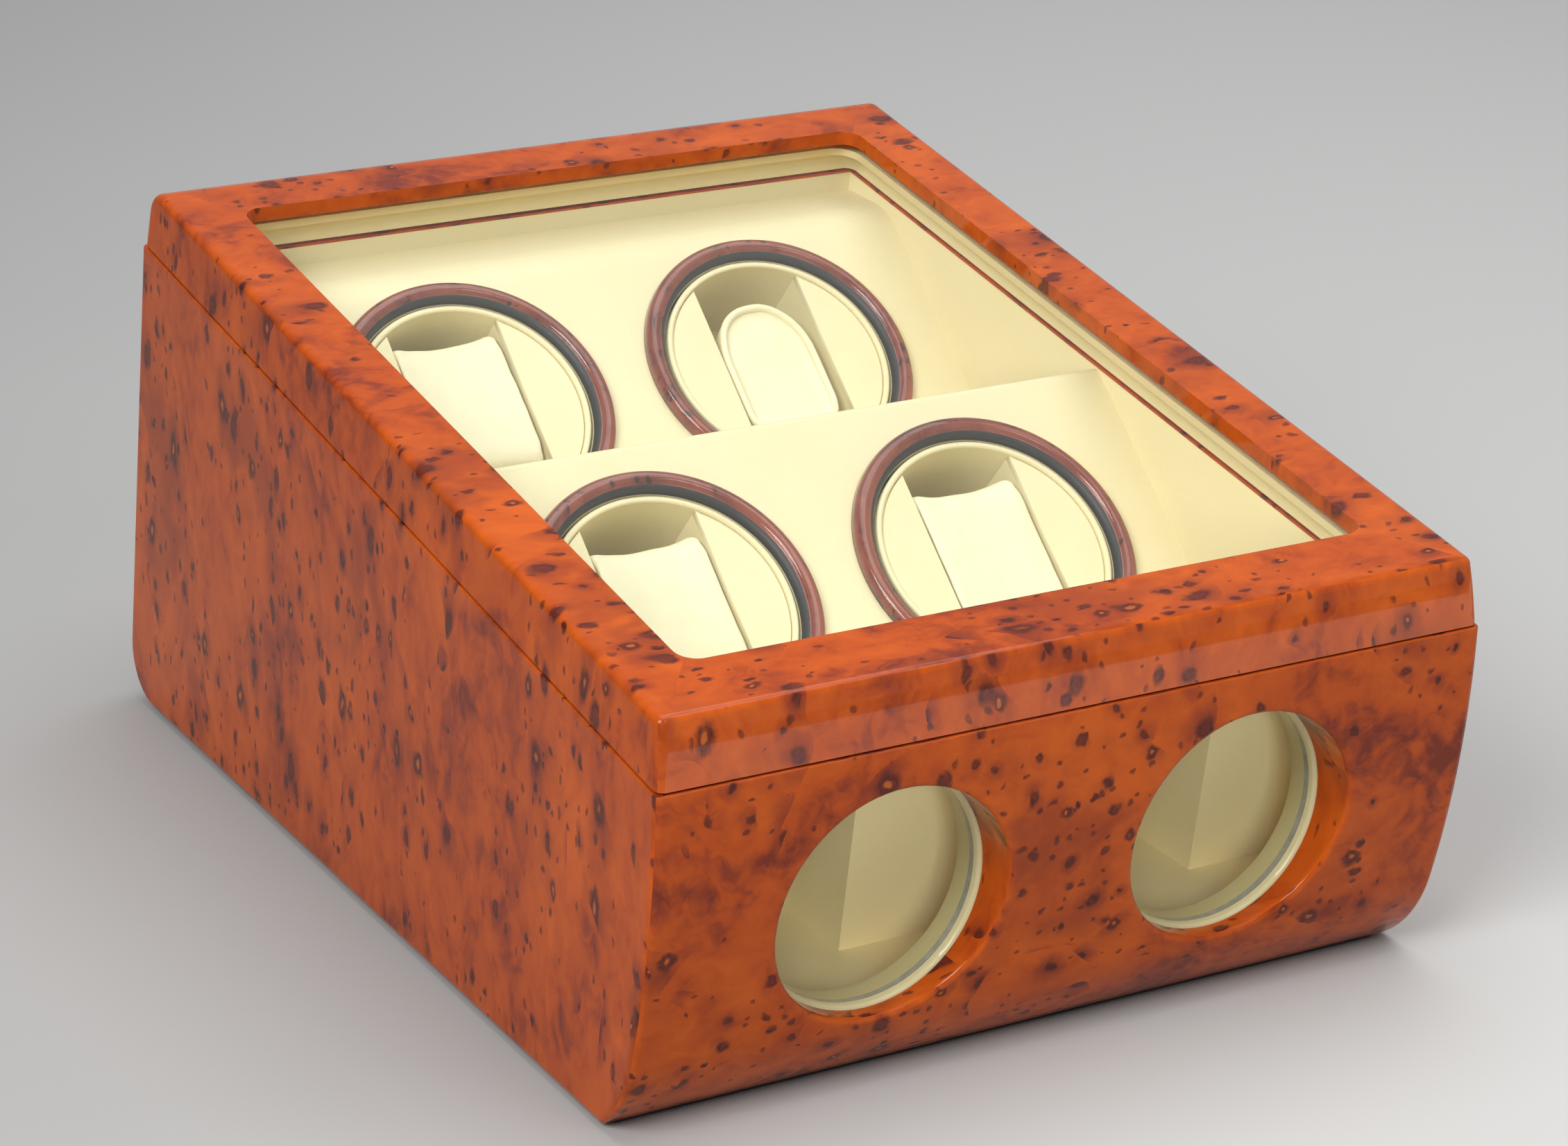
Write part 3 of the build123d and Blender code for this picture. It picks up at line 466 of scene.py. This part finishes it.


# %% [markdown]
# The ring round each cup is lacquered on its top and outside. Its inner wall, where it drops to the board, is
# near black, as painted shade for the deep gap beside the cup. A lathe shape is a short chain of points spun round
# the axis.

# %% Rings
def spun(name, profile, steps=128, smooth=True):
    def build(shape):
        chain = [shape.verts.new((radius * MM, 0.0, height * MM)) for radius, height in profile]
        edges = [shape.edges.new(pair) for pair in zip(chain, chain[1:] + chain[:1])]
        bmesh.ops.spin(shape, geom=chain + edges, cent=(0, 0, 0), axis=(0, 0, 1), angle=math.tau,
                       steps=steps, use_merge=True)
        bmesh.ops.remove_doubles(shape, verts=shape.verts, dist=1e-6)
        bmesh.ops.recalc_face_normals(shape, faces=shape.faces)
        for face in shape.faces:
            face.smooth = smooth
    return place_mesh(name, build)


def arc(centre, radius, first, last, count):
    angles = [math.radians(first + (last - first) * i / count) for i in range(count + 1)]
    return [(centre[0] + radius * math.cos(a), centre[1] + radius * math.sin(a)) for a in angles]


ring_foot, painted_shade_edge, ring_outer = 48.6, 50.7, 57.3
ring_shoulder, ring_round = 2.0, 3.1
# Near-black colour for the ring's inner wall: painted shade standing in for the dark gap between ring and cup.
gap_painted_shade = make_moulded("gap_painted_shade", (0.007, 0.007, 0.008), (0.028, 0.027, 0.027), 0.42, scale=900.0)
ring_profile = ([(ring_foot, 0.05), (49.0, 1.5), (painted_shade_edge, 3.7)]
                + arc((53.7, ring_shoulder), ring_round, 150, 90, 6)
                + arc((53.9, ring_shoulder), ring_round, 84, 12, 8) + [(ring_outer, 0.05)])
for name in station_names:
    ring = spun(name + "_ring", ring_profile)
    dress(ring, burl_trim, gap_painted_shade)
    for face in ring.data.polygons:
        middle = face.center
        # Faces inside the shade edge take the near-black painted shade.
        if math.hypot(middle.x, middle.y) < painted_shade_edge * MM:
            face.material_index = 1
    ring.data.transform(stations[name])
    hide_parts(name + "_bezel")
    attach(ring, "case")
print("rings made")

# %% [markdown]
# In each cup two blocks leave a channel for the cushion. They are wrapped in leatherette, so the edge along
# the channel is soft, and the arc beside the cup wall shows as a fine line. A block is a disc cut across,
# pulled down and bevelled.

# %% Blocks
block_reach, block_depth, channel_half = 44.85, 47.8, 23.5


def block_maker(side):
    def build(shape):
        bmesh.ops.create_circle(shape, cap_ends=True, segments=112, radius=block_reach * MM)
        cut_line = Vector((side * channel_half * MM, 0.0, 0.0))
        bmesh.ops.bisect_plane(shape, geom=shape.verts[:] + shape.edges[:] + shape.faces[:],
                               plane_co=cut_line, plane_no=(side, 0.0, 0.0), clear_inner=True)
        lower = bmesh.ops.extrude_face_region(shape, geom=shape.faces[:])["geom"]
        lower = [part for part in lower if isinstance(part, bmesh.types.BMVert)]
        bmesh.ops.translate(shape, verts=lower, vec=(0.0, 0.0, -block_depth * MM))
        bmesh.ops.holes_fill(shape, edges=shape.edges)
        bmesh.ops.recalc_face_normals(shape, faces=shape.faces)
        for straight, offset, segments in ((True, 2.6, 5), (False, 0.5, 2)):
            top = [edge for edge in shape.edges if all(abs(v.co.z) < 1e-6 for v in edge.verts)
                   and (edge.calc_length() > 0.02) == straight]
            bmesh.ops.bevel(shape, geom=top, offset=offset * MM, segments=segments, profile=0.5,
                            affect="EDGES", material=-1)
        for face in shape.faces:
            face.smooth = 0.02 < abs(face.normal.z) < 0.999
    return build


for name in station_names:
    for side, word in ((-1, "left"), (1, "right")):
        piece = place_mesh(name + "_block_" + word, block_maker(side))
        piece.data.transform(stations[name])
        dress(piece, leatherette)
        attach(piece, name + "_turntable")
        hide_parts(name + "_blocks")
print("blocks made")

# %% [markdown]
# A watch cushion is foam in a sewn cover. A strip of leatherette goes round a squared roll, and a panel
# closes each side. The strip is pulled in between its two seams, which gives the saddle and the pointed
# corners that show in three of the cups. The body is inflated as cloth with its seams held, as the stitching
# holds them. The fourth cushion has one round end, and is turned on its side, so that this end faces the
# rear and the panel with its piped edge shows.

# %% Cushions
cushion_thick, cushion_wide = 44.6, 45.2
cushion_segments = 96
panel_sink = 1.4
boxy, round_end = 2.0 / 8.0, 2.0 / 2.3      # powers that square or round the near end of the section
long_of = {boxy: 62.0, round_end: 57.0}
voxel, settle_frames = 2.0, 16


def section_point(angle, near_end, size=1.0):
    cosine, sine = math.cos(angle), math.sin(angle)
    power = boxy if cosine > 0 else near_end
    return Vector((long_of[near_end] / 2 * size * math.copysign(abs(cosine) ** power, cosine),
                   cushion_thick / 2 * size * math.copysign(abs(sine) ** power, sine), 0.0))


def section_loop(shape, near_end, size, place):
    made = bmesh.ops.create_circle(shape, cap_ends=False, segments=cushion_segments, radius=1.0)["verts"]
    for vert in made:
        spot = section_point(math.atan2(vert.co.y, vert.co.x), near_end, size)
        vert.co = (spot + Vector((0.0, 0.0, place))) * MM
    return made


def ring_edges(shape, verts):
    chosen = set(verts)
    return [edge for edge in shape.edges if edge.verts[0] in chosen and edge.verts[1] in chosen]


def shell_maker(near_end):
    half = cushion_wide / 2
    rows = [(-half + panel_sink, 0.86), (-half, 0.97), (-half + 1.2, 1.03), (-half * 0.7, 0.99)]
    rows += [(-half * 0.35, 0.962)]
    rows += [(0.0, 0.955)] + [(-place, size) for place, size in reversed(rows)]

    def build(shape):
        loops = [section_loop(shape, near_end, size, place) for place, size in rows]
        for first, second in zip(loops, loops[1:]):
            bmesh.ops.bridge_loops(shape, edges=ring_edges(shape, first) + ring_edges(shape, second))
        for loop in (loops[0], loops[-1]):
            bmesh.ops.contextual_create(shape, geom=ring_edges(shape, loop))
        bmesh.ops.recalc_face_normals(shape, faces=shape.faces)
    return build


def apply_modifier(piece):
    graph = bpy.context.evaluated_depsgraph_get()
    done = bpy.data.meshes.new_from_object(piece.evaluated_get(graph))
    piece.modifiers.clear()
    old = piece.data
    piece.data = done
    bpy.data.meshes.remove(old)


def inflate(piece, pressure, cap, held):
    remesh = piece.modifiers.new("remesh", "REMESH")
    remesh.mode = "VOXEL"
    remesh.voxel_size = voxel * MM
    apply_modifier(piece)
    group = piece.vertex_groups.new(name="held")
    start = [vert.co.copy() for vert in piece.data.vertices]
    for index, spot in enumerate(start):
        group.add([index], held(spot), "REPLACE")
    cloth = piece.modifiers.new("cloth", "CLOTH")
    cloth.settings.effector_weights.gravity = 0.0
    cloth.settings.use_pressure = True
    cloth.settings.uniform_pressure_force = pressure
    cloth.settings.vertex_group_mass = "held"
    cloth.settings.quality = 5
    cloth.point_cache.frame_start = 1
    cloth.point_cache.frame_end = settle_frames
    for step in range(1, settle_frames + 1):
        scene.frame_set(step)
    apply_modifier(piece)
    scene.frame_set(1)
    for vert, old in zip(piece.data.vertices, start):
        move = vert.co - old
        if move.length > cap * MM:
            vert.co = old + move.normalized() * cap * MM
    finer = piece.modifiers.new("finer", "SUBSURF")
    finer.levels = 1
    finer.render_levels = 1
    apply_modifier(piece)
    for face in piece.data.polygons:
        face.use_smooth = True


def hold_seams(spot):
    return 1.0 if abs(spot.z) > (cushion_wide / 2 - 2.4) * MM else 0.0


masters = {}
for way, near_end in (("lying", boxy), ("turned", round_end)):
    masters[way] = place_mesh(way + "_master", shell_maker(near_end))
    inflate(masters[way], pressure=0.8, cap=1.0, held=hold_seams)
    print(way, "cushion body", len(masters[way].data.vertices), "points")

# %% [markdown]
# The turned cushion shows its piping, a soft cord under leatherette that follows the edge of the panel. It
# is a bevelled curve along the section, with a slow wave and a few small puckers where the stitches pull.

# %% Piping and places
piping_radius = 1.7
piping_points = 64


def piping(name, side, seed):
    curve = bpy.data.curves.new(name, "CURVE")
    curve.dimensions = "3D"
    spline = curve.splines.new("NURBS")
    spline.points.add(piping_points - 1)
    for index, point in enumerate(spline.points):
        angle = math.tau * index / piping_points
        wave = noise.noise(Vector((math.cos(angle) * 2.5 + seed, math.sin(angle) * 2.5, 7.0)))
        pucker = noise.noise(Vector((math.cos(angle) * 11.0 + seed, math.sin(angle) * 11.0, 3.0)))
        spot = section_point(angle, round_end, 0.965 + wave * 0.012)
        spot.z = side * (cushion_wide / 2 - 0.5 + pucker * 0.35)
        point.co = (*(spot * MM), 1.0)
    spline.use_cyclic_u = True
    spline.order_u = 4
    curve.bevel_depth = piping_radius * MM
    curve.bevel_resolution = 3
    path = bpy.data.objects.new(name + "_path", curve)
    piece = bpy.data.objects.new(name, bpy.data.meshes.new_from_object(path))
    scene.collection.objects.link(piece)
    bpy.data.objects.remove(path)
    return piece


def crease_cover(piece, seed, depth):
    for vert in piece.data.vertices:
        spot = vert.co / MM
        slow = noise.noise(Vector((spot.x * 0.045 + seed, spot.y * 0.06, spot.z * 0.09)))
        fine = noise.noise(Vector((spot.x * 0.13 + seed, spot.y * 0.16, spot.z * 0.05 + 4.0)))
        vert.co += vert.normal * (slow * 0.5 + fine * 0.22) * depth * MM


# The cover's own axes are: x along the roll's long way, y through its thickness, z from side to side.
turn_of = {"lying": Matrix(((0, 0, 1, 0), (1, 0, 0, 0), (0, 1, 0, 0), (0, 0, 0, 1))),
           "turned": Matrix(((0, 0.9, 0, 0), (-1, 0, 0, 0), (0, 0, 1, 0), (0, 0, 0, 1)))}
shift_of = {"rear_left": (-0.3, 3.6, 1.2), "rear_right": (-1.6, -0.4, 0.4), "front_left": (0.0, -0.4, 1.2),
            "front_right": (0.0, 0.0, 1.0)}
for index, name in enumerate(station_names):
    low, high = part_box(name + "_cushion")
    centre = stations[name].inverted() @ ((low + high) / 2)
    way = "turned" if name == "rear_right" else "lying"
    cover = bpy.data.objects.new(name + "_cushion_cover", masters[way].data.copy())
    scene.collection.objects.link(cover)
    crease_cover(cover, 3.7 * index, 1.0)
    shift = Matrix.Translation(Vector((0.0, 0.0, centre.z)) + Vector(shift_of[name]) * MM)
    pieces = [cover]
    if way == "turned":
        pieces += [piping(name + "_piping_top", 1, 2.3), piping(name + "_piping_base", -1, 3.4)]
    for piece in pieces:
        piece.data.transform(stations[name] @ shift @ turn_of[way])
        for face in piece.data.polygons:
            face.use_smooth = True
        dress(piece, cushion_cloth)
        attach(piece, name + "_watch_cushion")
    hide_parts(name + "_cushion")
for master in masters.values():
    bpy.data.objects.remove(master)
print("cushions made")

# %% [markdown]
# The ring in front of each round glass and the liner behind it are smooth cream mouldings. Between them the
# edge of the glass shows as a grey band. It is a thin opaque ring of its own, set inside the pane's thickness,
# whose mottled dark and light grey is a painted reflection standing for the glints of the glass edge.

# %% Porthole mouldings and glass edges
cream_moulding = make_moulded("cream_moulding", (0.66, 0.6, 0.33), (0.72, 0.65, 0.37), 0.16, scale=300.0)
for name in ("porthole_rings", "porthole_liners"):
    dress(nodes[name], cream_moulding)
# Mottled grey for the glass edge band: painted reflection and glints on an opaque ring.
painted_glass_edge = make_moulded("glass_edge_painted_glints", (0.2, 0.2, 0.16), (0.5, 0.5, 0.42), 0.12, scale=160.0, depth=0.0004)
moulding_across = 97.0
edge_inner, edge_outer, edge_low, edge_high = 43.85, 44.5, 0.25, 2.75
glass_low, glass_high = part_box("porthole_glass")
ring_low, ring_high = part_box("porthole_rings")
for side in (-1, 1):
    middle = (ring_low.x + ring_high.x) / 2 + side * (ring_high.x - ring_low.x - moulding_across * MM) / 2
    band = spun(("left" if side < 0 else "right") + "_glass_edge",
                [(edge_inner, edge_low), (edge_outer, edge_low), (edge_outer, edge_high),
                 (edge_inner, edge_high)], smooth=False)
    turn = Matrix.Rotation(math.radians(-90), 4, "X")
    band.data.transform(Matrix.Translation((middle, glass_low.y, (glass_low.z + glass_high.z) / 2)) @ turn)
    dress(band, painted_glass_edge)
    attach(band, "case")
print("glass edges made")
